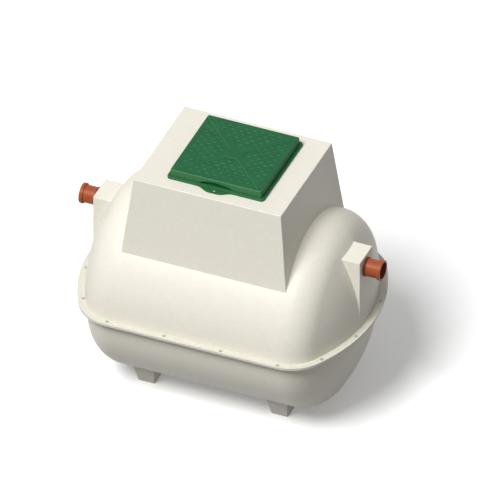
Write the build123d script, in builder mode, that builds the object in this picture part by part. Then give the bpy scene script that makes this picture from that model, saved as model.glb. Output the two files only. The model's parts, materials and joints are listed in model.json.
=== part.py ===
"""Packaged sewage treatment plant: a horizontal glass-fibre tank in two flanged mouldings, with a tapered
access turret, a green hinged lid, an inlet and an outlet socket and four moulded feet.

Millimetres. X runs from the inlet end (-X) to the outlet end (+X), the front of the plant faces -Y and
the origin is on the ground under the middle of the tank.
"""

import os
from math import asin, degrees, radians, sqrt, tan

from build123d import *

os.makedirs("parts", exist_ok=True)

# Tank: a cylinder on its side with dished ends, moulded as an upper and a lower half
tank_radius = 650.0
end_reach = 924.0
dish_radius = 1070.0
knuckle_radius = 222.0
laminate = 8.0
ground_clearance = 20.0
flange_width = 50.0
flange_thickness = 8.0
flange_edge_radius = 2.5

# Turret: the tapered box over the access shaft
turret_length = 1014.0
turret_depth = 842.0
turret_rise = 985.0
turret_draft = 6.3
turret_edge_radius = 6.0

# Upstand round the access opening, under the lid
upstand_height = 42.0
upstand_wall = 8.0
upstand_corner = 30.0
upstand_clearance = 24.5

# Bosses: the flat-topped pockets on the dished ends that carry the pipe sockets
boss_setback = 7.0
boss_width = 206.0
boss_top = 508.0
boss_foot = 40.0
boss_pocket_floor = 220.0
boss_window_ledge = 12.0
boss_edge_radius = 4.0

# Pipe sockets for 110 mm drain pipe
inlet_axis_rise = 438.0
outlet_axis_rise = 416.0
socket_bore_radius = 55.25
socket_wall = 3.45
socket_depth = 88.0
socket_stickout = 117.0
socket_stop_height = 3.0
tail_length = 70.0
pipe_clearance = 0.3
lip_length = 24.0
lip_wall = 8.5
lip_edge_radius = 3.0
seal_width = 9.0
seal_depth = 5.0
seal_recess = 3.0
seal_clearance = 0.25
collar_step = 6.0
collar_length = 13.0

# Feet under the barrel
foot_setback = 50.0
foot_width = 112.0
foot_outer_y = 324.0
foot_inner_y = 190.0
foot_side_draft = 6.0
foot_outer_draft = 20.0
foot_inner_draft = 7.0
foot_block_height = 170.0
foot_edge_radius = 5.0

# Lid: a square tray with a shelf round its foot, hinged at the back
lid_centre_x = 14.0
lid_centre_y = 5.0
lid_size = 667.0
lid_shelf = 19.5
lid_shelf_height = 16.0
lid_rise = 62.7
lid_skin = 5.0
lid_draft = 3.0
lid_corner = 24.0
lid_edge_radius = 4.0
lid_gap = 0.3

# Raised cross on the lid's top, with a square in its middle
cross_height = 4.5
cross_draft = 25.0
cross_width = 28.0
cross_square = 112.0
cross_end_margin = 34.0

# Lock tongue on the front of the lid, with a scoop in the wall over it
tongue_length = 260.0
tongue_tip_length = 46.0
tongue_reach = 38.0
tongue_thickness = 5.0
tongue_hole_radius = 8.0
tongue_hole_offset = 13.0
scoop_length = 220.0
scoop_height = 26.0
scoop_depth = 12.0

# Lid hinges
hinge_spacing = 380.0
hinge_pin_radius = 4.0
hinge_pin_clearance = 0.1
hinge_knuckle_radius = 8.0
hinge_knuckle_length = 46.0
hinge_axis_offset = 14.0
hinge_leaf_thickness = 3.0
hinge_leaf_ledge = 3.5
hinge_ear_thickness = 6.0
hinge_ear_gap = 1.0
hinge_base_thickness = 4.0
hinge_base_depth = 44.0
pin_overhang = 2.0

# Levels and positions that follow from the sizes above
parting_height = ground_clearance + tank_radius
deck_top = parting_height + turret_rise
lid_seat = deck_top + lid_gap
lid_front_y = lid_centre_y - lid_size / 2
lid_back_y = lid_centre_y + lid_size / 2
lid_tray_size = lid_size - 2 * lid_shelf
access_size = lid_tray_size - 2 * (lid_skin + upstand_clearance + upstand_wall)
hinge_y = lid_back_y + hinge_axis_offset
hinge_z = lid_seat + lid_shelf_height + hinge_leaf_thickness / 2
dish_centre_x = end_reach - dish_radius
boss_face = end_reach - boss_setback
knuckle_centre_y = tank_radius - knuckle_radius
knuckle_centre_x = dish_centre_x + sqrt((dish_radius - knuckle_radius) ** 2 - knuckle_centre_y**2)
dish_angle = degrees(asin(knuckle_centre_y / (dish_radius - knuckle_radius)))
seam_x = turret_length / 2
foot_centre_x = seam_x - foot_setback
lid_centre = (lid_centre_x, lid_centre_y)


def save(part, label):
    """Labels a finished piece and writes it as its own file."""
    part.label = label
    export_step(part, f"parts/{label}.step")


def half_outline(grow, plane):
    """One half of the tank's outline, closed along its axis, moved outwards by grow."""
    with BuildSketch(plane) as half:
        with BuildLine():
            dish = CenterArc((dish_centre_x, 0), dish_radius + grow, 0, dish_angle)
            knuckle = CenterArc(
                (knuckle_centre_x, knuckle_centre_y), knuckle_radius + grow, dish_angle, 90 - dish_angle
            )
            Line(knuckle @ 1, (0, tank_radius + grow))
            Line((0, 0), dish @ 0)
            mirror(about=Plane.YZ)
        make_face()
    return half.sketch


def tank_form(grow):
    """The tank as one solid of revolution about its long axis, moved outwards by grow."""
    with BuildPart() as form:
        add(half_outline(grow, Plane.XY.offset(parting_height)))
        revolve(axis=Axis((0, 0, parting_height), (1, 0, 0)))
    return form.part


def frustum(length_inset, depth_inset, top):
    """The turret's block, from a level in or on the turret down to the middle of the tank."""
    slope = tan(radians(turret_draft))
    upper = 2 * (deck_top - top) * slope
    lower = 2 * (deck_top - parting_height) * slope
    length = turret_length - 2 * length_inset
    depth = turret_depth - 2 * depth_inset
    with BuildPart() as block:
        with BuildSketch(Plane.XY.offset(top)):
            Rectangle(length + upper, depth + upper)
        with BuildSketch(Plane.XY.offset(parting_height)):
            Rectangle(length + lower, depth + lower)
        loft(ruled=True)
    return block.part


def rounded_block(centre, size, corner, bottom, height, draft=0.0):
    """An upright square block with rounded corners, its sides leaning in by draft."""
    with BuildPart() as block:
        with BuildSketch(Plane.XY.offset(bottom)):
            with Locations(centre):
                RectangleRounded(size, size, corner)
        extrude(amount=height, taper=draft)
    return block.part


def cylinder_along_x(start, end, radius, rise):
    """A round bar on the middle plane, from start to end, at a height over the parting line."""
    with BuildPart() as bar:
        with BuildSketch(Plane.YZ.offset(start)):
            with Locations((0, parting_height + rise)):
                Circle(radius)
        extrude(amount=end - start)
    return bar.part


tank_outside = tank_form(0)
tank_inside = tank_form(-laminate)
turret_outside = frustum(0, 0, deck_top)
turret_inside = frustum(laminate, laminate, deck_top - laminate)
turret_channel = frustum(-turret_length, laminate, deck_top)


# Tank shells: each half is cut into a front, a back and two dished ends at the turret's ends
def boss_window(side):
    """The opening through the dished end behind a boss, which lets the pipe into the tank."""
    width = boss_width - 2 * (laminate + boss_window_ledge)
    bottom = boss_pocket_floor + boss_window_ledge
    height = boss_top - laminate - boss_window_ledge - bottom
    with BuildPart() as block:
        with BuildSketch(Plane.YZ.offset(side * knuckle_centre_x)):
            with Locations((0, parting_height + bottom + height / 2)):
                Rectangle(width, height)
        extrude(amount=side * (boss_face - knuckle_centre_x))
    return block.part


with BuildPart() as upper_shell:
    add(tank_outside)
    add(tank_inside, mode=Mode.SUBTRACT)
    split(bisect_by=Plane.XY.offset(parting_height), keep=Keep.TOP)
    add(turret_inside, mode=Mode.SUBTRACT)
    add(boss_window(-1), mode=Mode.SUBTRACT)
    add(boss_window(1), mode=Mode.SUBTRACT)

with BuildPart() as lower_shell:
    add(tank_outside)
    add(tank_inside, mode=Mode.SUBTRACT)
    split(bisect_by=Plane.XY.offset(parting_height), keep=Keep.BOTTOM)


def flange_ring(bottom, outer_face):
    """A flat ring round the tank, rounded on the edge of the face that points away from the parting line."""
    with BuildPart() as ring:
        with BuildSketch(Plane.XY.offset(bottom)):
            add(half_outline(flange_width, Plane.XY))
            mirror(about=Plane.XZ)
        extrude(amount=flange_thickness)
        add(tank_outside, mode=Mode.SUBTRACT)
        rim = ring.faces().sort_by(Axis.Z)[outer_face].outer_wire().edges()
        fillet(rim, radius=flange_edge_radius)
    return ring.part


def save_quarters(whole, level, kind):
    """Cuts a shell or a flange ring at the seams and saves its four pieces."""
    with BuildPart() as inlet_piece:
        add(whole)
        split(bisect_by=Plane.YZ.offset(-seam_x), keep=Keep.BOTTOM)
    save(inlet_piece.part, f"{level}_inlet_{kind}")
    with BuildPart() as outlet_piece:
        add(whole)
        split(bisect_by=Plane.YZ.offset(seam_x), keep=Keep.TOP)
    save(outlet_piece.part, f"{level}_outlet_{kind}")
    with BuildPart() as middle:
        add(whole)
        split(bisect_by=Plane.YZ.offset(-seam_x), keep=Keep.TOP)
        split(bisect_by=Plane.YZ.offset(seam_x), keep=Keep.BOTTOM)
    with BuildPart() as front_piece:
        add(middle.part)
        split(bisect_by=Plane.XZ, keep=Keep.TOP)
    save(front_piece.part, f"{level}_front_{kind}")
    with BuildPart() as back_piece:
        add(middle.part)
        split(bisect_by=Plane.XZ, keep=Keep.BOTTOM)
    save(back_piece.part, f"{level}_back_{kind}")


save_quarters(upper_shell.part, "upper", "shell")
save_quarters(lower_shell.part, "lower", "shell")
save_quarters(flange_ring(parting_height, -1), "upper", "flange")
save_quarters(flange_ring(parting_height - flange_thickness, 0), "lower", "flange")

# Turret: four leaning walls that stand on the barrel, and a deck with the access opening
with BuildPart() as turret:
    add(turret_outside)
    slanted = turret.edges().filter_by(lambda edge: abs(edge.tangent_at(0.5).Z) > 0.5)
    rim = turret.faces().sort_by(Axis.Z)[-1].edges()
    fillet(list(slanted) + list(rim), radius=turret_edge_radius)
    add(turret_inside, mode=Mode.SUBTRACT)
    add(tank_outside, mode=Mode.SUBTRACT)

with BuildPart() as turret_deck:
    add(turret.part)
    split(bisect_by=Plane.XY.offset(deck_top - laminate), keep=Keep.TOP)
    opening = rounded_block(lid_centre, access_size, upstand_corner, deck_top - laminate, laminate)
    add(opening, mode=Mode.SUBTRACT)
save(turret_deck.part, "turret_deck")

with BuildPart() as turret_walls:
    add(turret.part)
    split(bisect_by=Plane.XY.offset(deck_top - laminate), keep=Keep.BOTTOM)

with BuildPart() as long_walls:
    add(turret_walls.part)
    add(turret_channel, mode=Mode.SUBTRACT)

with BuildPart() as end_walls:
    add(turret_walls.part)
    add(turret_channel, mode=Mode.INTERSECT)

for name, walls, plane, keep in (
    ("front", long_walls, Plane.XZ, Keep.TOP),
    ("back", long_walls, Plane.XZ, Keep.BOTTOM),
    ("inlet", end_walls, Plane.YZ, Keep.BOTTOM),
    ("outlet", end_walls, Plane.YZ, Keep.TOP),
):
    with BuildPart() as wall:
        add(walls.part)
        split(bisect_by=plane, keep=keep)
    save(wall.part, f"turret_{name}_wall")

with BuildPart() as upstand:
    outer_corner = upstand_corner + upstand_wall
    add(rounded_block(lid_centre, access_size + 2 * upstand_wall, outer_corner, deck_top, upstand_height))
    inside = rounded_block(lid_centre, access_size, upstand_corner, deck_top, upstand_height)
    add(inside, mode=Mode.SUBTRACT)
save(upstand.part, "access_upstand")


# Bosses with their pipe sockets
def boss_block(inset, bottom, side):
    """A box with a boss's outline, or its pocket when inset is the laminate."""
    reach = boss_face - inset
    with BuildPart() as block:
        with BuildSketch(Plane.XY.offset(parting_height + bottom)):
            with Locations((side * (knuckle_centre_x + reach) / 2, 0)):
                Rectangle(reach - knuckle_centre_x, boss_width - 2 * inset)
        extrude(amount=boss_top - inset - bottom)
    return block.part


socket_radius = socket_bore_radius + socket_wall
mouth = boss_face + socket_stickout
socket_end = mouth - socket_depth
tail_end = boss_face - tail_length
seal_outer = mouth - seal_recess
seal_inner = seal_outer - seal_width
seal_radius = socket_bore_radius + seal_depth
for name, side, rise in (("inlet", -1, inlet_axis_rise), ("outlet", 1, outlet_axis_rise)):
    with BuildPart() as boss:
        add(boss_block(0, boss_foot, side))
        outer_face = boss.faces().sort_by(Axis.X)[0 if side < 0 else -1]
        rounded = set(boss.faces().sort_by(Axis.Z)[-1].edges()) | set(outer_face.edges())
        fillet([edge for edge in rounded if edge.center().Z > parting_height + boss_foot], boss_edge_radius)
        add(tank_outside, mode=Mode.SUBTRACT)
        add(boss_block(laminate, boss_pocket_floor, side), mode=Mode.SUBTRACT)
        hole = cylinder_along_x(side * tail_end, side * mouth, socket_radius + pipe_clearance, rise)
        add(hole, mode=Mode.SUBTRACT)
    save(boss.part, f"{name}_boss")

    with BuildPart() as socket:
        lip = cylinder_along_x(side * (mouth - lip_length), side * mouth, socket_radius + lip_wall, rise)
        add(lip)
        fillet(socket.edges(), radius=lip_edge_radius)
        add(cylinder_along_x(side * tail_end, side * (mouth - lip_edge_radius), socket_radius, rise))
        add(cylinder_along_x(side * socket_end, side * mouth, socket_bore_radius, rise), mode=Mode.SUBTRACT)
        bore = cylinder_along_x(side * tail_end, side * mouth, socket_bore_radius - socket_stop_height, rise)
        add(bore, mode=Mode.SUBTRACT)
        add(cylinder_along_x(side * seal_inner, side * seal_outer, seal_radius, rise), mode=Mode.SUBTRACT)
    save(socket.part, f"{name}_socket")

    with BuildPart() as seal:
        add(cylinder_along_x(side * seal_inner, side * seal_outer, seal_radius, rise))
        lining = cylinder_along_x(side * seal_inner, side * seal_outer, socket_bore_radius + seal_clearance, rise)
        add(lining, mode=Mode.SUBTRACT)
    save(seal.part, f"{name}_seal")

    with BuildPart() as collar:
        collar_end = boss_face + collar_length
        add(cylinder_along_x(side * boss_face, side * collar_end, socket_radius + collar_step, rise))
        fillet(collar.edges().group_by(Axis.X)[0 if side < 0 else -1], radius=lip_edge_radius)
        add(cylinder_along_x(side * boss_face, side * collar_end, socket_radius, rise), mode=Mode.SUBTRACT)
    save(collar.part, f"{name}_collar")

# Feet: tapered blocks under the belly, their tops cut to the barrel
with BuildPart() as foot:
    outer = foot_outer_y + foot_block_height * tan(radians(foot_outer_draft))
    inner = foot_inner_y - foot_block_height * tan(radians(foot_inner_draft))
    spread = foot_width + 2 * foot_block_height * tan(radians(foot_side_draft))
    with BuildSketch(Plane.XY):
        with Locations((foot_centre_x, -(foot_outer_y + foot_inner_y) / 2)):
            Rectangle(foot_width, foot_outer_y - foot_inner_y)
    with BuildSketch(Plane.XY.offset(foot_block_height)):
        with Locations((foot_centre_x, -(outer + inner) / 2)):
            Rectangle(spread, outer - inner)
    loft(ruled=True)
    standing = foot.edges().filter_by(lambda edge: abs(edge.tangent_at(0.5).Z) > 0.5)
    fillet(standing, radius=foot_edge_radius)
    add(tank_outside, mode=Mode.SUBTRACT)
with BuildPart() as front_inlet_foot:
    mirror(foot.part, about=Plane.YZ)
with BuildPart() as back_outlet_foot:
    mirror(foot.part, about=Plane.XZ)
with BuildPart() as back_inlet_foot:
    mirror(front_inlet_foot.part, about=Plane.XZ)
save(foot.part, "front_outlet_foot")
save(front_inlet_foot.part, "front_inlet_foot")
save(back_outlet_foot.part, "back_outlet_foot")
save(back_inlet_foot.part, "back_inlet_foot")

# Lid: a tray with a shelf round its foot, a lock tongue under a scoop, and a raised cross on its top
shelf_z = lid_seat + lid_shelf_height
lid_top_z = lid_seat + lid_rise
lean = (lid_rise - lid_shelf_height) * tan(radians(lid_draft))
tray_corner = lid_corner - lid_shelf / 2
wall_foot_y = lid_centre_y - lid_tray_size / 2 - lean


def scoop_block(inset, depth):
    """The scoop's arched hollow, or the skin behind it when inset is the lid's thickness."""
    with BuildPart() as block:
        with BuildSketch(Plane.XZ.offset(-wall_foot_y)):
            with Locations((lid_centre_x, shelf_z)):
                Ellipse(scoop_length / 2 + inset, scoop_height + inset)
            with Locations((lid_centre_x, shelf_z - inset)):
                Rectangle(
                    2 * scoop_length,
                    2 * scoop_height,
                    align=(Align.CENTER, Align.MIN),
                    mode=Mode.INTERSECT,
                )
        extrude(amount=-depth)
    return block.part


with BuildPart() as lid_cover:
    add(rounded_block(lid_centre, lid_size, lid_corner, lid_seat, lid_shelf_height))
    fillet(lid_cover.faces().sort_by(Axis.Z)[-1].edges(), radius=lid_edge_radius)
    tray_height = lid_rise - lid_shelf_height
    tray_foot_size = lid_tray_size + 2 * lean
    with BuildPart() as tray:
        add(rounded_block(lid_centre, tray_foot_size, tray_corner, shelf_z, tray_height, lid_draft))
        fillet(tray.faces().sort_by(Axis.Z)[-1].edges(), radius=lid_edge_radius)
    add(tray.part)
    with BuildSketch(Plane.XY.offset(lid_seat)):
        with BuildLine():
            start = (lid_centre_x - tongue_length / 2, lid_front_y)
            end = (lid_centre_x + tongue_length / 2, lid_front_y)
            tip_start = (lid_centre_x - tongue_tip_length / 2, lid_front_y - tongue_reach)
            tip_end = (lid_centre_x + tongue_tip_length / 2, lid_front_y - tongue_reach)
            Spline(start, tip_start, tangents=((1, 0), (1, 0)))
            Line(tip_start, tip_end)
            Spline(tip_end, end, tangents=((1, 0), (1, 0)))
            Line(end, (end[0], lid_front_y + lid_skin))
            Line((end[0], lid_front_y + lid_skin), (start[0], lid_front_y + lid_skin))
            Line((start[0], lid_front_y + lid_skin), start)
        make_face()
        with Locations((lid_centre_x, lid_front_y - tongue_hole_offset)):
            Circle(tongue_hole_radius, mode=Mode.SUBTRACT)
    extrude(amount=tongue_thickness)
    with BuildSketch(Plane.XY.offset(lid_top_z)):
        arm = lid_tray_size * sqrt(2) - 2 * cross_end_margin
        with Locations(Location((lid_centre_x, lid_centre_y, 0), (0, 0, 45))):
            Rectangle(arm, cross_width)
            Rectangle(cross_width, arm)
        with Locations(lid_centre):
            Rectangle(cross_square, cross_square)
    extrude(amount=cross_height, taper=cross_draft)
    hollow_size = lid_size - 2 * lid_skin
    hollow = rounded_block(lid_centre, hollow_size, lid_corner - lid_skin, lid_seat, lid_shelf_height - lid_skin)
    add(hollow, mode=Mode.SUBTRACT)
    tray_hollow_size = lid_tray_size - 2 * lid_skin
    hollow = rounded_block(lid_centre, tray_hollow_size, tray_corner - lid_skin, lid_seat, lid_rise - lid_skin)
    add(hollow, mode=Mode.SUBTRACT)
    add(scoop_block(lid_skin, scoop_depth + lid_skin))
    add(scoop_block(0, scoop_depth), mode=Mode.SUBTRACT)
save(lid_cover.part, "lid_cover")

# Hinges on the back edge of the lid
for name, centre_x in (
    ("inlet", lid_centre_x - hinge_spacing / 2),
    ("outlet", lid_centre_x + hinge_spacing / 2),
):
    with BuildPart() as lid_leaf:
        with BuildSketch(Plane.YZ.offset(centre_x - hinge_knuckle_length / 2)):
            with Locations((hinge_y, hinge_z)):
                Circle(hinge_knuckle_radius)
            with Locations((hinge_y, hinge_z)):
                leaf_length = lid_shelf - hinge_leaf_ledge + hinge_axis_offset
                Rectangle(leaf_length, hinge_leaf_thickness, align=(Align.MAX, Align.CENTER))
            with Locations((hinge_y, hinge_z)):
                Circle(hinge_pin_radius + hinge_pin_clearance, mode=Mode.SUBTRACT)
        extrude(amount=hinge_knuckle_length)
    save(lid_leaf.part, f"lid_{name}_hinge")

    ear_start = hinge_knuckle_length / 2 + hinge_ear_gap
    with BuildPart() as bracket:
        with BuildSketch(Plane.XY.offset(deck_top)):
            with Locations((centre_x, hinge_y - hinge_knuckle_radius + hinge_base_depth / 2)):
                Rectangle(2 * (ear_start + hinge_ear_thickness), hinge_base_depth)
        extrude(amount=hinge_base_thickness)
        for start in (centre_x - ear_start - hinge_ear_thickness, centre_x + ear_start):
            with BuildSketch(Plane.YZ.offset(start)):
                with Locations((hinge_y, hinge_z)):
                    Circle(hinge_knuckle_radius)
                with Locations((hinge_y, deck_top)):
                    Rectangle(2 * hinge_knuckle_radius, hinge_z - deck_top, align=(Align.CENTER, Align.MIN))
                with Locations((hinge_y, hinge_z)):
                    Circle(hinge_pin_radius, mode=Mode.SUBTRACT)
            extrude(amount=hinge_ear_thickness)
    save(bracket.part, f"{name}_hinge_bracket")

    with BuildPart() as pin:
        half = ear_start + hinge_ear_thickness + pin_overhang
        with BuildSketch(Plane.YZ.offset(centre_x - half)):
            with Locations((hinge_y, hinge_z)):
                Circle(hinge_pin_radius)
        extrude(amount=2 * half)
    save(pin.part, f"{name}_hinge_pin")
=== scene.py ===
"""Looks of a packaged sewage treatment plant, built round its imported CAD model.

Lengths are metres in the model's own frame: X along the tank toward the outlet, Y toward the back, Z up from
the ground. Sizes that a maker would quote are written in millimetres and turned to metres by mm().
"""

import json
import logging
import math
from abc import ABC, abstractmethod
from dataclasses import dataclass
from enum import Enum
from typing import Callable, Iterable

import bpy
from mathutils import Matrix, Vector


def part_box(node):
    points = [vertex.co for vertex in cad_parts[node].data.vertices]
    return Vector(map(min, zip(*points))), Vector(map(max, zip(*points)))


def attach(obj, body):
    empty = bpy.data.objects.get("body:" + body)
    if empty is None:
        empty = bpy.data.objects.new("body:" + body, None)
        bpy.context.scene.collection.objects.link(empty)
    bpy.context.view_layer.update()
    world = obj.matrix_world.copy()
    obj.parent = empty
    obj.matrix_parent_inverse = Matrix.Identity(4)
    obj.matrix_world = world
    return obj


LOG = logging.getLogger("treatment_plant")

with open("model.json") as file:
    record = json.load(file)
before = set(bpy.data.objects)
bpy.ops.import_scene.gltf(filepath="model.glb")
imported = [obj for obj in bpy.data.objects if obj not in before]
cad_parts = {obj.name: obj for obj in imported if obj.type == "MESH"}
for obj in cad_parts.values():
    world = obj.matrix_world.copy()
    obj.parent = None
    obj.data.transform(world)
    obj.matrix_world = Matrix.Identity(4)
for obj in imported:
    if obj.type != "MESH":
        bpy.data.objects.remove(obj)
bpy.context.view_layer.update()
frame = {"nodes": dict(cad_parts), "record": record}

Pair = tuple[float, float]
Place = tuple[float, float, float]
Piece = bpy.types.Object
Material = bpy.types.Material
Tree = bpy.types.NodeTree
Socket = bpy.types.NodeSocket
Surface = dict[str, float | Socket]
FaceTest = Callable[[Vector], bool]

# The colour sockets of a Mix node: its two inputs and its result
MIX_A, MIX_B, MIXED = 6, 7, 2
# Nearly all values of a Noise texture lie in this range, and those of two multiplied ones in the next
NOISE_RANGE: Pair = (0.3, 0.7)
PRODUCT_RANGE: Pair = (0.15, 0.38)
# Length of one band of a Wave texture of scale 1
WAVE_PERIOD = 0.314
# A face is level if its normal is at least this upright
LEVEL = 0.99
# Faces that meet at a sharper angle than this keep their edge
SMOOTH_ANGLE = math.radians(35)


class Body(str, Enum):
    """The rigid bodies of the CAD model."""

    PLANT = "plant"
    LID = "lid"


class Slot(str, Enum):
    """The record's material slots."""

    LAMINATE = "grp"
    LID = "lid"
    PIPE = "pipe"
    SEAL = "seal"
    HINGE = "hinge"


def mm(length: float) -> float:
    """Turns millimetres to metres."""
    return length / 1000


def linear(colour: str) -> tuple[float, float, float, float]:
    """Turns an sRGB hex colour to the linear colour that a node takes.

    Args:
        colour: The colour as "#RRGGBB".

    Returns:
        Red, green, blue and an alpha of 1.
    """
    values = [int(colour[i : i + 2], 16) / 255 for i in (1, 3, 5)]
    red, green, blue = (v / 12.92 if v <= 0.04045 else ((v + 0.055) / 1.055) ** 2.4 for v in values)
    return red, green, blue, 1.0


def fill_inputs(tree: Tree, node: bpy.types.Node, inputs: dict) -> None:
    """Gives a node its plain values and its links.

    Args:
        tree: The node's tree.
        node: The node to fill.
        inputs: Values or output sockets, keyed by the input's name or number.
    """
    for key, value in inputs.items():
        if isinstance(value, bpy.types.NodeSocket):
            tree.links.new(value, node.inputs[key])
        else:
            node.inputs[key].default_value = value


def add_node(tree: Tree, kind: str, inputs: dict | None = None, **settings: object) -> bpy.types.Node:
    """Adds a node to a tree with its settings, its plain values and its links.

    Args:
        tree: The tree that takes the node.
        kind: The node's type name.
        inputs: Values or output sockets, keyed by the input's name or number.
        settings: The node's own properties.

    Returns:
        The new node.
    """
    node = tree.nodes.new(kind)
    for name, value in settings.items():
        setattr(node, name, value)
    fill_inputs(tree, node, inputs or {})
    return node


def seen_directly(tree: Tree) -> Socket:
    """Finds the rays by which the camera sees a backdrop, straight or in a mirror or through glass.

    Args:
        tree: The backdrop's tree.

    Returns:
        A socket that is 1 for such rays and 0 for those that only carry light.
    """
    path = add_node(tree, "ShaderNodeLightPath").outputs
    seen = path["Is Camera Ray"]
    for other in ("Is Glossy Ray", "Is Transmission Ray"):
        seen = add_node(tree, "ShaderNodeMath", {0: seen, 1: path[other]}, operation="MAXIMUM").outputs[0]
    return seen


def mottled(tree: Tree, fine: Socket, broad: Socket) -> Socket:
    """Turns two noises to one mottle, which is strong where both are.

    Args:
        tree: The material's tree.
        fine: The fine noise.
        broad: The broad noise.

    Returns:
        A socket from 0 to 1.
    """
    product = add_node(tree, "ShaderNodeMath", {0: fine, 1: broad}, operation="MULTIPLY").outputs[0]
    spread = {"Value": product, "From Min": PRODUCT_RANGE[0], "From Max": PRODUCT_RANGE[1]}
    return add_node(tree, "ShaderNodeMapRange", spread).outputs[0]


def select_only(*pieces: Piece) -> None:
    """Deselects everything, then selects these pieces and makes the first one active.

    Args:
        pieces: The pieces to select.
    """
    for other in list(bpy.context.selected_objects):
        other.select_set(False)
    for piece in pieces:
        piece.select_set(True)
    bpy.context.view_layer.objects.active = pieces[0]


def facing_up(normal: Vector) -> bool:
    """Picks the faces that look straight up."""
    return normal.z > LEVEL


def facing_up_or_down(normal: Vector) -> bool:
    """Picks the level faces."""
    return abs(normal.z) > LEVEL


def select_faces(piece: Piece, test: FaceTest) -> None:
    """Enters edit mode on a piece with the faces selected that a test picks.

    Args:
        piece: The piece to work on.
        test: Takes a face's normal and says whether it is wanted.
    """
    select_only(piece)
    bpy.ops.object.mode_set(mode="EDIT")
    bpy.ops.mesh.select_mode(type="FACE")
    bpy.ops.mesh.select_all(action="DESELECT")
    bpy.ops.object.mode_set(mode="OBJECT")
    for face in piece.data.polygons:
        face.select = test(face.normal)
    bpy.ops.object.mode_set(mode="EDIT")


def bevel_rims(piece: Piece, test: FaceTest, width: float, segments: int) -> None:
    """Bevels the rims of some faces.

    Args:
        piece: The piece to work on.
        test: Picks the faces.
        width: The bevel's width.
        segments: How many steps it has.
    """
    select_faces(piece, test)
    bpy.ops.mesh.bevel(offset=width, segments=segments, affect="EDGES")
    bpy.ops.object.mode_set(mode="OBJECT")


def sink_top(piece: Piece, rim: float, depth: float) -> None:
    """Sinks the flat top of a piece inside a rim.

    Args:
        piece: The piece to work on.
        rim: The width of the rim that stays.
        depth: How deep the middle is sunk.
    """
    select_faces(piece, facing_up)
    bpy.ops.mesh.inset(thickness=rim, depth=-depth)
    bpy.ops.object.mode_set(mode="OBJECT")


def add_cylinder(sides: int, radius: float, height: float, foot: Place) -> Piece:
    """Adds an upright cylinder or prism.

    Args:
        sides: How many sides it has.
        radius: Its outer radius.
        height: Its height.
        foot: The middle of its underside.

    Returns:
        The new piece.
    """
    bpy.ops.object.select_all(action="DESELECT")
    middle = (foot[0], foot[1], foot[2] + height / 2)
    bpy.ops.mesh.primitive_cylinder_add(vertices=sides, radius=radius, depth=height, location=middle)
    return bpy.context.view_layer.objects.active


def copy_piece(piece: Piece) -> Piece:
    """Copies a piece, with a mesh of its own.

    Args:
        piece: The piece to copy.

    Returns:
        The copy, in the scene.
    """
    copy = piece.copy()
    copy.data = piece.data.copy()
    bpy.context.scene.collection.objects.link(copy)
    return copy


def join(name: str, parts: list[Piece]) -> Piece:
    """Joins parts to one piece whose object sits at the origin.

    Args:
        name: The piece's name.
        parts: The parts, each with its own mesh.

    Returns:
        The joined piece.
    """
    select_only(*parts)
    if len(parts) > 1:
        bpy.ops.object.join()
    piece = bpy.context.view_layer.objects.active
    bpy.ops.object.transform_apply(location=True, rotation=True, scale=True)
    piece.name = name
    piece.data.name = name
    return piece


def finish_piece(piece: Piece, material: Material, body: Body) -> None:
    """Smooths a new piece, dresses it and hangs it on its body.

    Args:
        piece: The finished mesh.
        material: Its finish.
        body: The CAD body that it moves with.
    """
    select_only(piece)
    bpy.ops.object.shade_smooth_by_angle(angle=SMOOTH_ANGLE)
    piece.data.materials.clear()
    piece.data.materials.append(material)
    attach(piece, body.value)
    LOG.info("%s: %d faces on %s", piece.name, len(piece.data.polygons), body.value)


@dataclass(frozen=True)
class Finish(ABC):
    """What every finish of the plant has: a name, and a surface painted on Object coordinates."""

    name: str

    @abstractmethod
    def surface(self, tree: Tree, where: Socket) -> Surface:
        """Paints the surface, which each finish does in its own way.

        Args:
            tree: The material's tree.
            where: The Object coordinate.

        Returns:
            What the shader takes, keyed by its inputs.
        """

    def build(self) -> Material:
        """Makes the material.

        Returns:
            The painted material.
        """
        material = bpy.data.materials.new(self.name)
        material.use_nodes = True
        tree = material.node_tree
        where = add_node(tree, "ShaderNodeTexCoord").outputs["Object"]
        fill_inputs(tree, tree.nodes["Principled BSDF"], self.surface(tree, where))
        return material


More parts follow.
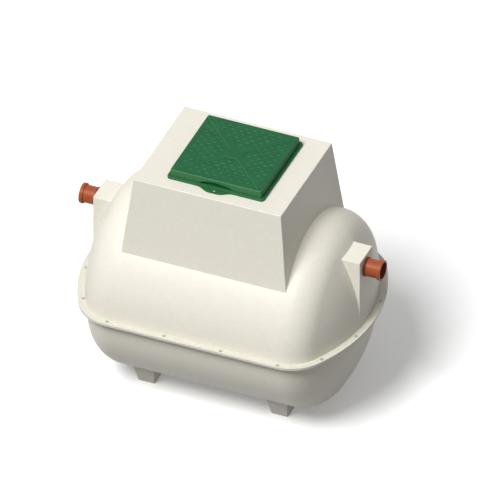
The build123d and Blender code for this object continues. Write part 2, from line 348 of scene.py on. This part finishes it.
@dataclass(frozen=True)
class Laminate(Finish):
    """Glass-fibre laminate with a gelcoat: sprayed into a mould, so its face is satin with a faint orange
    peel, and the chopped strands behind it print through as a soft mottle. The back of the laminate is bare
    resin, which is darker and only shows where the inside is seen.
    """

    face: str
    shade: str
    back: str = "#A39C83"
    bare_back: bool = True
    ior: float = 1.52
    # The gelcoat is dulled by weather, so it mirrors less than fresh resin would
    mirror: float = 0.25
    least_rough: float = 0.37
    most_rough: float = 0.48
    # Orange peel is about 3 mm from crest to crest and is drawn at 9 mm so that it shows
    peel: float = mm(9)
    peel_height: float = mm(0.35)
    peel_strength: float = 0.16
    # Strands are 25 to 50 mm long and lie in soft swirls
    strand: float = mm(38)
    strand_fuzz: float = 0.6
    strand_swirl: float = 1.2
    # Inner faces look toward the tank's middle, and their planes lie more than this far from it
    tank_middle: Place = (0.0, 0.0, mm(670))
    inner_distance: float = mm(100)

    def back_mask(self, tree: Tree, where: Socket) -> Socket:
        """Finds the inner faces: their normals point toward the middle of the tank.

        Args:
            tree: The material's tree.
            where: The Object coordinate.

        Returns:
            A socket that is 1 on inner faces and 0 on outer ones.
        """
        place = {0: where, 1: self.tank_middle}
        outward = add_node(tree, "ShaderNodeVectorMath", place, operation="SUBTRACT").outputs[0]
        facing = {0: outward, 1: add_node(tree, "ShaderNodeNewGeometry").outputs["Normal"]}
        side = add_node(tree, "ShaderNodeVectorMath", facing, operation="DOT_PRODUCT").outputs["Value"]
        inward = {0: side, 1: -self.inner_distance}
        return add_node(tree, "ShaderNodeMath", inward, operation="LESS_THAN").outputs[0]

    def surface(self, tree: Tree, where: Socket) -> Surface:
        """Paints the mottle, the orange peel and the bare back.

        Args:
            tree: The material's tree.
            where: The Object coordinate.

        Returns:
            What the shader takes, keyed by its inputs.
        """
        fine = {"Vector": where, "Scale": 1 / self.peel, "Detail": 2.0}
        peel = add_node(tree, "ShaderNodeTexNoise", fine).outputs["Fac"]
        broad = {
            "Vector": where,
            "Scale": 1 / self.strand,
            "Detail": 4.0,
            "Roughness": self.strand_fuzz,
            "Distortion": self.strand_swirl,
        }
        strand = add_node(tree, "ShaderNodeTexNoise", broad).outputs["Fac"]
        mixed = {"Factor": mottled(tree, peel, strand), MIX_A: linear(self.shade), MIX_B: linear(self.face)}
        colour = add_node(tree, "ShaderNodeMix", mixed, data_type="RGBA").outputs[MIXED]
        if self.bare_back:
            backed = {"Factor": self.back_mask(tree, where), MIX_A: colour, MIX_B: linear(self.back)}
            colour = add_node(tree, "ShaderNodeMix", backed, data_type="RGBA").outputs[MIXED]
        gloss = {
            "Value": strand,
            "From Min": NOISE_RANGE[0],
            "From Max": NOISE_RANGE[1],
            "To Min": self.least_rough,
            "To Max": self.most_rough,
        }
        relief = {"Strength": self.peel_strength, "Distance": self.peel_height, "Height": peel}
        return {
            "Base Color": colour,
            "Roughness": add_node(tree, "ShaderNodeMapRange", gloss).outputs[0],
            "IOR": self.ior,
            "Specular IOR Level": self.mirror,
            "Normal": add_node(tree, "ShaderNodeBump", relief).outputs[0],
        }


@dataclass(frozen=True)
class LidLaminate(Finish):
    """Pigmented glass-fibre moulding: coloured right through, so it has one even green with a fine grain from
    the mould. Paler lines along the edges of the raised cross and the top's front edge are painted
    highlights.
    The front wall is painted paler as a painted sheen, and the flange before it as painted light that lifts
    its shade.
    """

    name: str = "green_laminate"
    face: str = "#146038"
    shade: str = "#0F5630"
    ior: float = 1.52
    # The face is dulled by weather, so it mirrors less than fresh resin would
    mirror: float = 0.2
    least_rough: float = 0.38
    most_rough: float = 0.5
    # The mould's grain is about 2 mm and is drawn at 7 mm so that it shows
    grain: float = mm(7)
    grain_height: float = mm(0.3)
    grain_strength: float = 0.3
    # The pigment lies in clouds about a hand wide
    cloud: float = mm(90)
    # The cross's middle, half the width of its arms and of its square, and the width of the painted highlight
    # along its edges
    middle: Pair = (mm(14), mm(5))
    arm_half: float = mm(13)
    square_half: float = mm(55)
    cross_highlight_width: float = mm(3.4)
    # Paler green of the painted highlights along the edges
    highlight_green: str = "#4C9169"
    cross_highlight: float = 0.6
    # The painted highlight comes in patches of about this size and is never less than this share of its
    # strength
    highlight_patch: float = mm(30)
    least_highlight: float = 0.7
    # The painted highlights lie above this level, and the underside of the lid's skin below it
    highlight_level: float = mm(1714.5)
    # Where the top's front edge runs, and how far its painted highlight reaches to each side of it
    front_edge: float = mm(-307.5)
    front_highlight_width: float = mm(3.2)
    front_highlight: float = 1.0
    # What lies further before that edge than this margin is painted paler: the wall above its foot more, as a
    # painted sheen, and the flange below it less, as painted light that lifts its shade
    edge_margin: float = mm(0.8)
    wall_foot: float = mm(1673)
    painted_front_light: str = "#40784A"
    wall_light: float = 0.8
    flange_light: float = 0.4

    def distance(self, tree: Tree, where: Socket) -> Socket:
        """Measures how far a point of the lid's top lies outside the cross.

        Args:
            tree: The material's tree.
            where: The Object coordinate.

        Returns:
            A socket with the distance in metres, below zero on the cross.
        """
        shift = (-self.middle[0], -self.middle[1], 0.0)
        flat = add_node(tree, "ShaderNodeMapping", {"Vector": where, "Location": shift}).outputs[0]
        edges = []
        square = (0.0, self.square_half, "MAXIMUM")
        arms = (math.radians(45), self.arm_half, "MINIMUM")
        for turn, half, reach in (square, arms):
            spun = add_node(tree, "ShaderNodeMapping", {"Vector": flat, "Rotation": (0.0, 0.0, turn)})
            size = add_node(tree, "ShaderNodeVectorMath", {0: spun.outputs[0]}, operation="ABSOLUTE")
            axes = add_node(tree, "ShaderNodeSeparateXYZ", {0: size.outputs[0]}).outputs
            span = add_node(tree, "ShaderNodeMath", {0: axes["X"], 1: axes["Y"]}, operation=reach).outputs[0]
            edge = add_node(tree, "ShaderNodeMath", {0: span, 1: half}, operation="SUBTRACT").outputs[0]
            edges.append(edge)
        return add_node(tree, "ShaderNodeMath", dict(enumerate(edges)), operation="MINIMUM").outputs[0]

    def highlight_mask(self, tree: Tree, where: Socket) -> Socket:
        """Finds where painted highlights lie along the edges of the cross and of the front, on the lid's top
        alone.

        Args:
            tree: The material's tree.
            where: The Object coordinate.

        Returns:
            A socket that is 1 where the painted highlight is strongest and 0 where there is none.
        """
        axes = add_node(tree, "ShaderNodeSeparateXYZ", {0: where}).outputs
        ahead = add_node(tree, "ShaderNodeMath", {0: axes["Y"], 1: self.front_edge}, operation="SUBTRACT")
        # The lines along the cross's edges and the front edge are painted highlights, paler green where light
        # would catch them
        cross = (self.distance(tree, where), self.cross_highlight_width, self.cross_highlight)
        front = (ahead.outputs[0], self.front_highlight_width, self.front_highlight)
        lines = []
        for offset, width, most in (cross, front):
            gap = add_node(tree, "ShaderNodeMath", {0: offset}, operation="ABSOLUTE").outputs[0]
            fall = {"Value": gap, "From Min": 0.0, "From Max": width, "To Min": most, "To Max": 0.0}
            lines.append(add_node(tree, "ShaderNodeMapRange", fall).outputs[0])
        either = add_node(tree, "ShaderNodeMath", dict(enumerate(lines)), operation="MAXIMUM").outputs[0]
        high = {0: axes["Z"], 1: self.highlight_level}
        top = add_node(tree, "ShaderNodeMath", high, operation="GREATER_THAN").outputs[0]
        edge = add_node(tree, "ShaderNodeMath", {0: either, 1: top}, operation="MULTIPLY").outputs[0]
        pattern = {"Vector": where, "Scale": 1 / self.highlight_patch, "Detail": 2.0}
        spread = {
            "Value": add_node(tree, "ShaderNodeTexNoise", pattern).outputs["Fac"],
            "From Min": NOISE_RANGE[0],
            "From Max": NOISE_RANGE[1],
            "To Min": self.least_highlight,
        }
        patchy = {0: edge, 1: add_node(tree, "ShaderNodeMapRange", spread).outputs[0]}
        return add_node(tree, "ShaderNodeMath", patchy, operation="MULTIPLY").outputs[0]

    def front_light_mask(self, tree: Tree, where: Socket) -> Socket:
        """Finds the lid's front wall and flange, where paler painted light lies.

        Args:
            tree: The material's tree.
            where: The Object coordinate.

        Returns:
            A socket with the share of the painted light.
        """
        axes = add_node(tree, "ShaderNodeSeparateXYZ", {0: where}).outputs
        before = {0: axes["Y"], 1: self.front_edge - self.edge_margin}
        front = add_node(tree, "ShaderNodeMath", before, operation="LESS_THAN").outputs[0]
        above = {0: axes["Z"], 1: self.wall_foot}
        wall = add_node(tree, "ShaderNodeMath", above, operation="GREATER_THAN").outputs[0]
        share = {"Value": wall, "To Min": self.flange_light, "To Max": self.wall_light}
        painted_front_light = {0: front, 1: add_node(tree, "ShaderNodeMapRange", share).outputs[0]}
        return add_node(tree, "ShaderNodeMath", painted_front_light, operation="MULTIPLY").outputs[0]

    def surface(self, tree: Tree, where: Socket) -> Surface:
        """Paints the grain, the painted sheen and lifted shade of the front, and the painted highlights along
        the edges.

        Args:
            tree: The material's tree.
            where: The Object coordinate.

        Returns:
            What the shader takes, keyed by its inputs.
        """
        fine = {"Vector": where, "Scale": 1 / self.grain, "Detail": 3.0}
        grain = add_node(tree, "ShaderNodeTexNoise", fine).outputs["Fac"]
        broad = {"Vector": where, "Scale": 1 / self.cloud, "Detail": 2.0}
        cloud = add_node(tree, "ShaderNodeTexNoise", broad).outputs["Fac"]
        colour = linear(self.shade)
        layers = (
            (mottled(tree, grain, cloud), self.face),
            # The paler front is painted light: a painted sheen on the wall and lifted shade on the flange
            (self.front_light_mask(tree, where), self.painted_front_light),
            (self.highlight_mask(tree, where), self.highlight_green),
        )
        for share, over in layers:
            mixed = {"Factor": share, MIX_A: colour, MIX_B: linear(over)}
            colour = add_node(tree, "ShaderNodeMix", mixed, data_type="RGBA").outputs[MIXED]
        gloss = {"Value": cloud, "To Min": self.least_rough, "To Max": self.most_rough}
        relief = {"Strength": self.grain_strength, "Distance": self.grain_height, "Height": grain}
        return {
            "Base Color": colour,
            "Roughness": add_node(tree, "ShaderNodeMapRange", gloss).outputs[0],
            "IOR": self.ior,
            "Specular IOR Level": self.mirror,
            "Normal": add_node(tree, "ShaderNodeBump", relief).outputs[0],
        }


@dataclass(frozen=True)
class DrainPlastic(Finish):
    """Unplasticised PVC, injection moulded: orange-brown, with faint rings left by the turned mould round
    each socket and a soft sheen.
    """

    name: str = "moulded_upvc"
    face: str = "#AD592E"
    shade: str = "#9A4822"
    ior: float = 1.53
    # The moulded skin is dull, so it mirrors less than bare plastic of its index would
    mirror: float = 0.25
    least_rough: float = 0.38
    most_rough: float = 0.5
    # Turning marks are finer than 1 mm and are drawn 6 mm apart so that they show
    ring: float = mm(6)
    ring_height: float = mm(0.15)
    ring_strength: float = 0.2
    ring_wander: float = 0.6
    # The melt's flow leaves marks a few centimetres wide
    cloud: float = mm(24)

    def surface(self, tree: Tree, where: Socket) -> Surface:
        """Paints the rings and a soft cloud.

        Args:
            tree: The material's tree.
            where: The Object coordinate.

        Returns:
            What the shader takes, keyed by its inputs.
        """
        scale = WAVE_PERIOD / self.ring
        bands = {"Vector": where, "Scale": scale, "Distortion": self.ring_wander, "Detail": 1.0}
        wave = add_node(tree, "ShaderNodeTexWave", bands, wave_type="BANDS", bands_direction="X")
        rings = wave.outputs["Fac"]
        broad = {"Vector": where, "Scale": 1 / self.cloud, "Detail": 3.0}
        cloud = add_node(tree, "ShaderNodeTexNoise", broad).outputs["Fac"]
        tone = add_node(tree, "ShaderNodeMath", {0: rings, 1: cloud}, operation="MULTIPLY").outputs[0]
        mixed = {"Factor": tone, MIX_A: linear(self.shade), MIX_B: linear(self.face)}
        gloss = {"Value": cloud, "To Min": self.least_rough, "To Max": self.most_rough}
        relief = {"Strength": self.ring_strength, "Distance": self.ring_height, "Height": rings}
        return {
            "Base Color": add_node(tree, "ShaderNodeMix", mixed, data_type="RGBA").outputs[MIXED],
            "Roughness": add_node(tree, "ShaderNodeMapRange", gloss).outputs[0],
            "IOR": self.ior,
            "Specular IOR Level": self.mirror,
            "Normal": add_node(tree, "ShaderNodeBump", relief).outputs[0],
        }


@dataclass(frozen=True)
class SealRubber(Finish):
    """Moulded EPDM rubber: brown-black and matt, with the dusty bloom that such seals have."""

    name: str = "moulded_epdm"
    face: str = "#3A241A"
    bloom: str = "#4A3226"
    ior: float = 1.5
    roughness: float = 0.7
    # The bloom lies in flecks of about a centimetre
    fleck: float = mm(10)

    def surface(self, tree: Tree, where: Socket) -> Surface:
        """Paints the bloom.

        Args:
            tree: The material's tree.
            where: The Object coordinate.

        Returns:
            What the shader takes, keyed by its inputs.
        """
        pattern = {"Vector": where, "Scale": 1 / self.fleck, "Detail": 4.0}
        flecks = add_node(tree, "ShaderNodeTexNoise", pattern).outputs["Fac"]
        mixed = {"Factor": flecks, MIX_A: linear(self.face), MIX_B: linear(self.bloom)}
        colour = add_node(tree, "ShaderNodeMix", mixed, data_type="RGBA").outputs[MIXED]
        return {"Base Color": colour, "Roughness": self.roughness, "IOR": self.ior}


@dataclass(frozen=True)
class Metal(Finish):
    """What the two metals share: two tones and a roughness that follow one fine grain."""

    face: str
    shade: str
    metallic: float
    least_rough: float
    most_rough: float
    grain: float
    detail: float
    # How the grain is drawn out along each axis
    stretch: Place = (1.0, 1.0, 1.0)

    def surface(self, tree: Tree, where: Socket) -> Surface:
        """Paints the grain.

        Args:
            tree: The material's tree.
            where: The Object coordinate.

        Returns:
            What the shader takes, keyed by its inputs.
        """
        drawn = add_node(tree, "ShaderNodeMapping", {"Vector": where, "Scale": self.stretch}).outputs[0]
        pattern = {"Vector": drawn, "Scale": 1 / self.grain, "Detail": self.detail}
        grain = add_node(tree, "ShaderNodeTexNoise", pattern).outputs["Fac"]
        mixed = {"Factor": grain, MIX_A: linear(self.shade), MIX_B: linear(self.face)}
        gloss = {"Value": grain, "To Min": self.least_rough, "To Max": self.most_rough}
        return {
            "Base Color": add_node(tree, "ShaderNodeMix", mixed, data_type="RGBA").outputs[MIXED],
            "Metallic": self.metallic,
            "Roughness": add_node(tree, "ShaderNodeMapRange", gloss).outputs[0],
        }


@dataclass(frozen=True)
class FastenerSteel(Metal):
    """Stainless steel that has dulled outdoors: mid grey with a fine brushed grain along the hinges."""

    name: str = "dulled_stainless"
    face: str = "#8E8E8B"
    shade: str = "#6B6B69"
    metallic: float = 1.0
    least_rough: float = 0.3
    most_rough: float = 0.5
    # The brushed lines are finer than half a millimetre and are drawn at 1.2 mm so that they show
    grain: float = mm(1.2)
    detail: float = 3.0
    stretch: Place = (0.15, 1.0, 1.0)


@dataclass(frozen=True)
class WeatheredZinc(Metal):
    """Zinc plating that has turned to a matt pale grey oxide, so little of the metal's mirror is left."""

    name: str = "weathered_zinc"
    face: str = "#C6C3B8"
    shade: str = "#A8A59B"
    metallic: float = 0.2
    least_rough: float = 0.5
    most_rough: float = 0.7
    # The oxide lies in spots of about 5 mm
    grain: float = mm(5)
    detail: float = 4.0


@dataclass(frozen=True)
class FloorPaint:
    """Matt white studio floor. The camera sees it white with a pale shadow, and it gives less light back to
    the plant.
    """

    name: str = "studio_floor"
    seen: str = "#FFFFFF"
    bounce: str = "#6C6C6A"
    # Share of white that the camera sees, and that reaches the plant, even in the deepest shadow
    lift: float = 0.17
    bounce_lift: float = 0.13

    def build(self) -> Material:
        """Makes the material.

        Returns:
            The floor's material.
        """
        material = bpy.data.materials.new(self.name)
        material.use_nodes = True
        tree = material.node_tree
        tree.nodes.remove(tree.nodes["Principled BSDF"])
        seen = seen_directly(tree)
        mixed = {"Factor": seen, MIX_A: linear(self.bounce), MIX_B: linear(self.seen)}
        colour = add_node(tree, "ShaderNodeMix", mixed, data_type="RGBA").outputs[MIXED]
        paint = add_node(tree, "ShaderNodeBsdfDiffuse", {"Color": colour}).outputs[0]
        lifted = {"Value": seen, "To Min": self.bounce_lift, "To Max": self.lift}
        strength = add_node(tree, "ShaderNodeMapRange", lifted).outputs[0]
        glow = add_node(tree, "ShaderNodeEmission", {"Strength": strength}).outputs[0]
        both = add_node(tree, "ShaderNodeAddShader", {0: paint, 1: glow}).outputs[0]
        fill_inputs(tree, tree.nodes["Material Output"], {"Surface": both})
        return material


@dataclass
class Studio:
    """The camera, the lamp, the sky and the floor."""

    azimuth: float = math.radians(22.7)
    elevation: float = math.radians(36.86)
    # What one pixel of the picture covers, and how many pixels wide it is
    pixel: float = mm(6.34)
    picture_width: int = 500
    # The middle of the tank lies left of and below the picture's middle
    aim_right: float = mm(109.7)
    aim_up: float = mm(225.1)
    axis_height: float = mm(670)
    camera_distance: float = 6.0
    far_limit: float = 60.0
    sun_travel: Place = (0.21, 0.56, -0.80)
    sun_strength: float = 2.92
    sun_width: float = math.radians(26)
    sky: str = "#FFFFFF"
    # The sky's strength rises from nothing at the horizon to this overhead
    sky_overhead: float = 0.45
    floor_half: float = 30.0

    def place_camera(self) -> None:
        """Puts a parallel-view camera at the picture's angle."""
        side, front = math.sin(self.azimuth), math.cos(self.azimuth)
        level, rise = math.cos(self.elevation), math.sin(self.elevation)
        right = Vector((front, side, 0))
        back = Vector((side * level, -front * level, rise))
        up = back.cross(right)
        data = bpy.data.cameras.new("picture_camera")
        data.type = "ORTHO"
        data.ortho_scale = self.pixel * self.picture_width
        data.clip_end = self.far_limit
        camera = bpy.data.objects.new("picture_camera", data)
        bpy.context.scene.collection.objects.link(camera)
        aim = Vector((0, 0, self.axis_height)) + right * self.aim_right + up * self.aim_up
        turn = Matrix((right, up, back)).transposed().to_4x4()
        camera.matrix_world = Matrix.Translation(aim + back * self.camera_distance) @ turn
        bpy.context.scene.camera = camera

    def light(self) -> None:
        """Adds one broad sun and a sky that is brightest overhead and shows white."""
        data = bpy.data.lights.new("studio_sun", "SUN")
        data.energy = self.sun_strength
        data.angle = self.sun_width
        lamp = bpy.data.objects.new("studio_sun", data)
        bpy.context.scene.collection.objects.link(lamp)
        lamp.rotation_mode = "QUATERNION"
        lamp.rotation_quaternion = Vector(self.sun_travel).to_track_quat("-Z", "Y")
        world = bpy.data.worlds.new("studio_sky")
        bpy.context.scene.world = world
        world.use_nodes = True
        tree = world.node_tree
        where = add_node(tree, "ShaderNodeTexCoord").outputs["Generated"]
        height = add_node(tree, "ShaderNodeSeparateXYZ", {0: where}).outputs["Z"]
        rise = {"Value": height, "To Min": 0.0, "To Max": self.sky_overhead}
        dome = add_node(tree, "ShaderNodeMapRange", rise).outputs[0]
        shown = {"Value": seen_directly(tree), "To Min": dome, "To Max": 1.0}
        strength = add_node(tree, "ShaderNodeMapRange", shown).outputs[0]
        fill_inputs(tree, tree.nodes["Background"], {"Color": linear(self.sky), "Strength": strength})
        bpy.context.scene.view_settings.view_transform = "Standard"

    def lay_floor(self) -> None:
        """Lays the floor at ground level."""
        bpy.ops.object.select_all(action="DESELECT")
        bpy.ops.mesh.primitive_plane_add(size=2 * self.floor_half, location=(0, 0, 0))
        floor = bpy.context.view_layer.objects.active
        floor.name = "floor"
        floor.data.materials.append(FloorPaint().build())


@dataclass
class FlangeFasteners:
    """The bolts through the tank's flange, each with two washers and a nut under it."""

    material: Material
    # The front half's bolts from the inlet end to the outlet end, in millimetres; the back half mirrors them
    spots: tuple[Pair, ...] = (
        (-925, 191),
        (-817, 500),
        (-584, 669),
        (-192, 669),
        (200, 680),
        (592, 680),
        (825, 512),
        (932, 203),
    )
    hexagon: int = 6
    head_radius: float = mm(8.6)
    head_height: float = mm(3.4)
    head_rim: float = mm(2.2)
    head_recess: float = mm(0.5)
    washer_sides: int = 24
    washer_radius: float = mm(12)
    washer_height: float = mm(1.4)
    shank_sides: int = 12
    shank_radius: float = mm(5)
    shank_length: float = mm(9)
    chamfer: float = mm(0.9)
    chamfer_steps: int = 2

    def disc(self, sides: int, radius: float, height: float, bottom: float) -> Piece:
        """Makes an upright disc or hexagon with both rims chamfered, by a third of its height at most.

        Args:
            sides: How many sides it has.
            radius: Its outer radius.
            height: Its height.
            bottom: The level of its underside.

        Returns:
            The disc, on the origin's axis.
        """
        disc = add_cylinder(sides, radius, height, (0, 0, bottom))
        bevel_rims(disc, facing_up_or_down, min(self.chamfer, height / 3), self.chamfer_steps)
        return disc

    def model(self, top: float, bottom: float) -> Piece:
        """Makes one fastening on the origin's axis.

        Args:
            top: The level of the flange's upper face.
            bottom: The level of its lower face.

        Returns:
            The fastening.
        """
        head = self.disc(self.hexagon, self.head_radius, self.head_height, top + self.washer_height)
        sink_top(head, self.head_rim, self.head_recess)
        lower_washer = bottom - self.washer_height
        nut = lower_washer - self.head_height
        parts = [
            head,
            self.disc(self.hexagon, self.head_radius, self.head_height, nut),
            self.disc(self.washer_sides, self.washer_radius, self.washer_height, top),
            self.disc(self.washer_sides, self.washer_radius, self.washer_height, lower_washer),
            self.disc(self.shank_sides, self.shank_radius, self.shank_length, nut - self.shank_length),
        ]
        return join("flange_bolt", parts)

    def build(self) -> None:
        """Models one fastening and sets a copy on each spot."""
        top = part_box("upper_front_flange")[1].z
        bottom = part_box("lower_front_flange")[0].z
        master = self.model(top, bottom)
        places = [(x, side * y) for x, y in self.spots for side in (-1, 1)]
        for number, (x, y) in enumerate(places, start=1):
            bolt = copy_piece(master)
            bolt.location = (mm(x), mm(y), 0)
            bolt = join(f"flange_bolt_{number:02d}", [bolt])
            finish_piece(bolt, self.material, Body.PLANT)
        bpy.data.objects.remove(master)


@dataclass
class LidTread:
    """The rows of small raised bars in the four fields of the lid's top, against slipping."""

    material: Material
    sides: int = 12
    width: float = mm(10)
    length: float = mm(26)
    height: float = mm(2.6)
    # How far a bar reaches down into the lid, and how much of its height the rounding of its top takes
    sink: float = mm(1)
    rounding: float = 0.95
    rounding_steps: int = 2
    # How many bars each row of a field has, from the outermost one, and how far that one lies from the middle
    row_bars: tuple[int, ...] = (8, 7, 6, 5, 4, 1)
    outer_row: float = mm(264)
    row_pitch: float = mm(34)
    bar_pitch: float = mm(56)
    fields: int = 4
    # How far the cross between the fields stands above them
    cross_height: float = mm(4.5)

    def model(self, top: float) -> Piece:
        """Makes one bar: a short oval boss with a rounded top.

        Args:
            top: The level of the field that it stands on.

        Returns:
            The bar, on the origin's axis.
        """
        bar = add_cylinder(self.sides, self.width / 2, self.height + self.sink, (0, 0, top - self.sink))
        bevel_rims(bar, facing_up, self.height * self.rounding, self.rounding_steps)
        bar.scale.x = self.length / self.width
        bpy.ops.object.transform_apply(location=False, rotation=False, scale=True)
        return bar

    def build(self) -> None:
        """Sets the bars in rows and joins them to one piece."""
        low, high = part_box("lid_cover")
        # The tongue lengthens the box at the front, so the square's middle is measured from the back
        middle_x = (low.x + high.x) / 2
        middle_y = high.y - (high.x - low.x) / 2
        bar = self.model(high.z - self.cross_height)
        copies = []
        for row, count in enumerate(self.row_bars):
            distance = self.outer_row - row * self.row_pitch
            for number in range(count):
                offset = (number - (count - 1) / 2) * self.bar_pitch
                for field in range(self.fields):
                    angle = field * math.tau / self.fields
                    copy = copy_piece(bar)
                    copy.location.x = middle_x + offset * math.cos(angle) + distance * math.sin(angle)
                    copy.location.y = middle_y + offset * math.sin(angle) - distance * math.cos(angle)
                    copies.append(copy)
        bpy.data.objects.remove(bar)
        finish_piece(join("lid_studs", copies), self.material, Body.LID)


@dataclass
class HingeScrews:
    """The screws that hold the hinges to the lid and to the deck."""

    material: Material
    sides: int = 20
    radius: float = mm(5)
    height: float = mm(2.6)
    rounding: float = mm(1.2)
    rounding_steps: int = 3
    recess_rim: float = mm(1.6)
    recess_depth: float = mm(1.0)
    # The leaf's screws: half their spacing, how far from its front edge, and its top above the hinge's middle
    leaf_half: float = mm(14)
    leaf_inset: float = mm(7.5)
    leaf_rise: float = mm(1.5)
    # The bracket's screws: half their spacing, how far from its back edge, and the thickness of its foot
    bracket_half: float = mm(20)
    bracket_inset: float = mm(10)
    bracket_foot: float = mm(4)

    def model(self, place: Place) -> Piece:
        """Makes one round-headed screw with a driver recess.

        Args:
            place: The middle of the head's underside.

        Returns:
            The screw's head.
        """
        head = add_cylinder(self.sides, self.radius, self.height, place)
        bevel_rims(head, facing_up, self.rounding, self.rounding_steps)
        sink_top(head, self.recess_rim, self.recess_depth)
        return head

    def row(self, name: str, places: Iterable[Place], body: Body) -> None:
        """Makes one piece of the screws of one leaf or bracket.

        Args:
            name: The piece's name.
            places: The middle of each head's underside.
            body: The body that the leaf or bracket belongs to.
        """
        piece = join(name, [self.model(place) for place in places])
        finish_piece(piece, self.material, body)

    def build(self) -> None:
        """Puts two screws in each leaf and in each bracket."""
        for end in ("inlet", "outlet"):
            low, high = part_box(f"lid_{end}_hinge")
            middle = (low.x + high.x) / 2
            leaf_y, leaf_top = low.y + self.leaf_inset, (low.z + high.z) / 2 + self.leaf_rise
            leaf = [(middle + side * self.leaf_half, leaf_y, leaf_top) for side in (-1, 1)]
            self.row(f"{end}_leaf_screws", leaf, Body.LID)
            low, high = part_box(f"{end}_hinge_bracket")
            foot_y, foot_top = high.y - self.bracket_inset, low.z + self.bracket_foot
            foot = [(middle + side * self.bracket_half, foot_y, foot_top) for side in (-1, 1)]
            self.row(f"{end}_bracket_screws", foot, Body.PLANT)


@dataclass
class Plant:
    """The whole plant: its CAD nodes and the small pieces added to them."""

    finishes: dict[Slot, Material]
    # Finishes of the nodes whose names end with these words, in place of their slots' own
    special: dict[str, Material]

    @classmethod
    def dressed(cls) -> "Plant":
        """Makes the plant's finishes.

        Returns:
            The plant, ready to build.
        """
        finishes = {
            Slot.LAMINATE: Laminate("cream_gelcoat", face="#EEEADE", shade="#E9E5D8"),
            Slot.LID: LidLaminate(),
            Slot.PIPE: DrainPlastic(),
            Slot.SEAL: SealRubber(),
            Slot.HINGE: FastenerSteel(),
        }
        special = {
            "_foot": Laminate("cream_gelcoat_foot", face="#E9E5D8", shade="#E4E0D3", bare_back=False),
            # The flanges are painted darker than the rest of the gelcoat, a painted shade that holds back the
            # light bounced onto them from the barrel
            "_flange": Laminate("cream_gelcoat_shaded_rim", face="#E1DED1", shade="#DAD7CA", bare_back=False),
            # The collars are painted darker, a painted shade for the shadow that the bosses and the turret
            # cast on them
            "_collar": DrainPlastic("shaded_upvc", face="#7E3A1C", shade="#6B2E14"),
        }
        return cls(
            {slot: finish.build() for slot, finish in finishes.items()},
            {ending: finish.build() for ending, finish in special.items()},
        )

    def dress_nodes(self) -> None:
        """Gives each CAD node the finish of its material slot, or its own."""
        for part in frame["record"]["subparts"]:
            node = frame["nodes"][part["node"]]
            material = self.finishes[Slot(part["material_slot"])]
            for ending, other in self.special.items():
                if node.name.endswith(ending):
                    material = other
            if node.material_slots:
                for held in node.material_slots:
                    held.material = material
            else:
                node.data.materials.append(material)
            LOG.info("%s dressed in %s", node.name, material.name)

    def build(self) -> None:
        """Dresses the nodes and adds the fastenings, the studs and the screws."""
        self.dress_nodes()
        # The studs are painted paler than the lid's flat face, a painted highlight on their domed tops
        highlight_green = LidLaminate("green_laminate_highlit", face="#3A7A54", shade="#2E6C48")
        FlangeFasteners(WeatheredZinc().build()).build()
        LidTread(highlight_green.build()).build()
        HingeScrews(self.finishes[Slot.HINGE]).build()


def main() -> None:
    """Builds the studio and the plant."""
    logging.basicConfig(level=logging.INFO, format="%(name)s: %(message)s")
    studio = Studio()
    studio.place_camera()
    studio.light()
    studio.lay_floor()
    Plant.dressed().build()


if __name__ == "__main__":
    main()
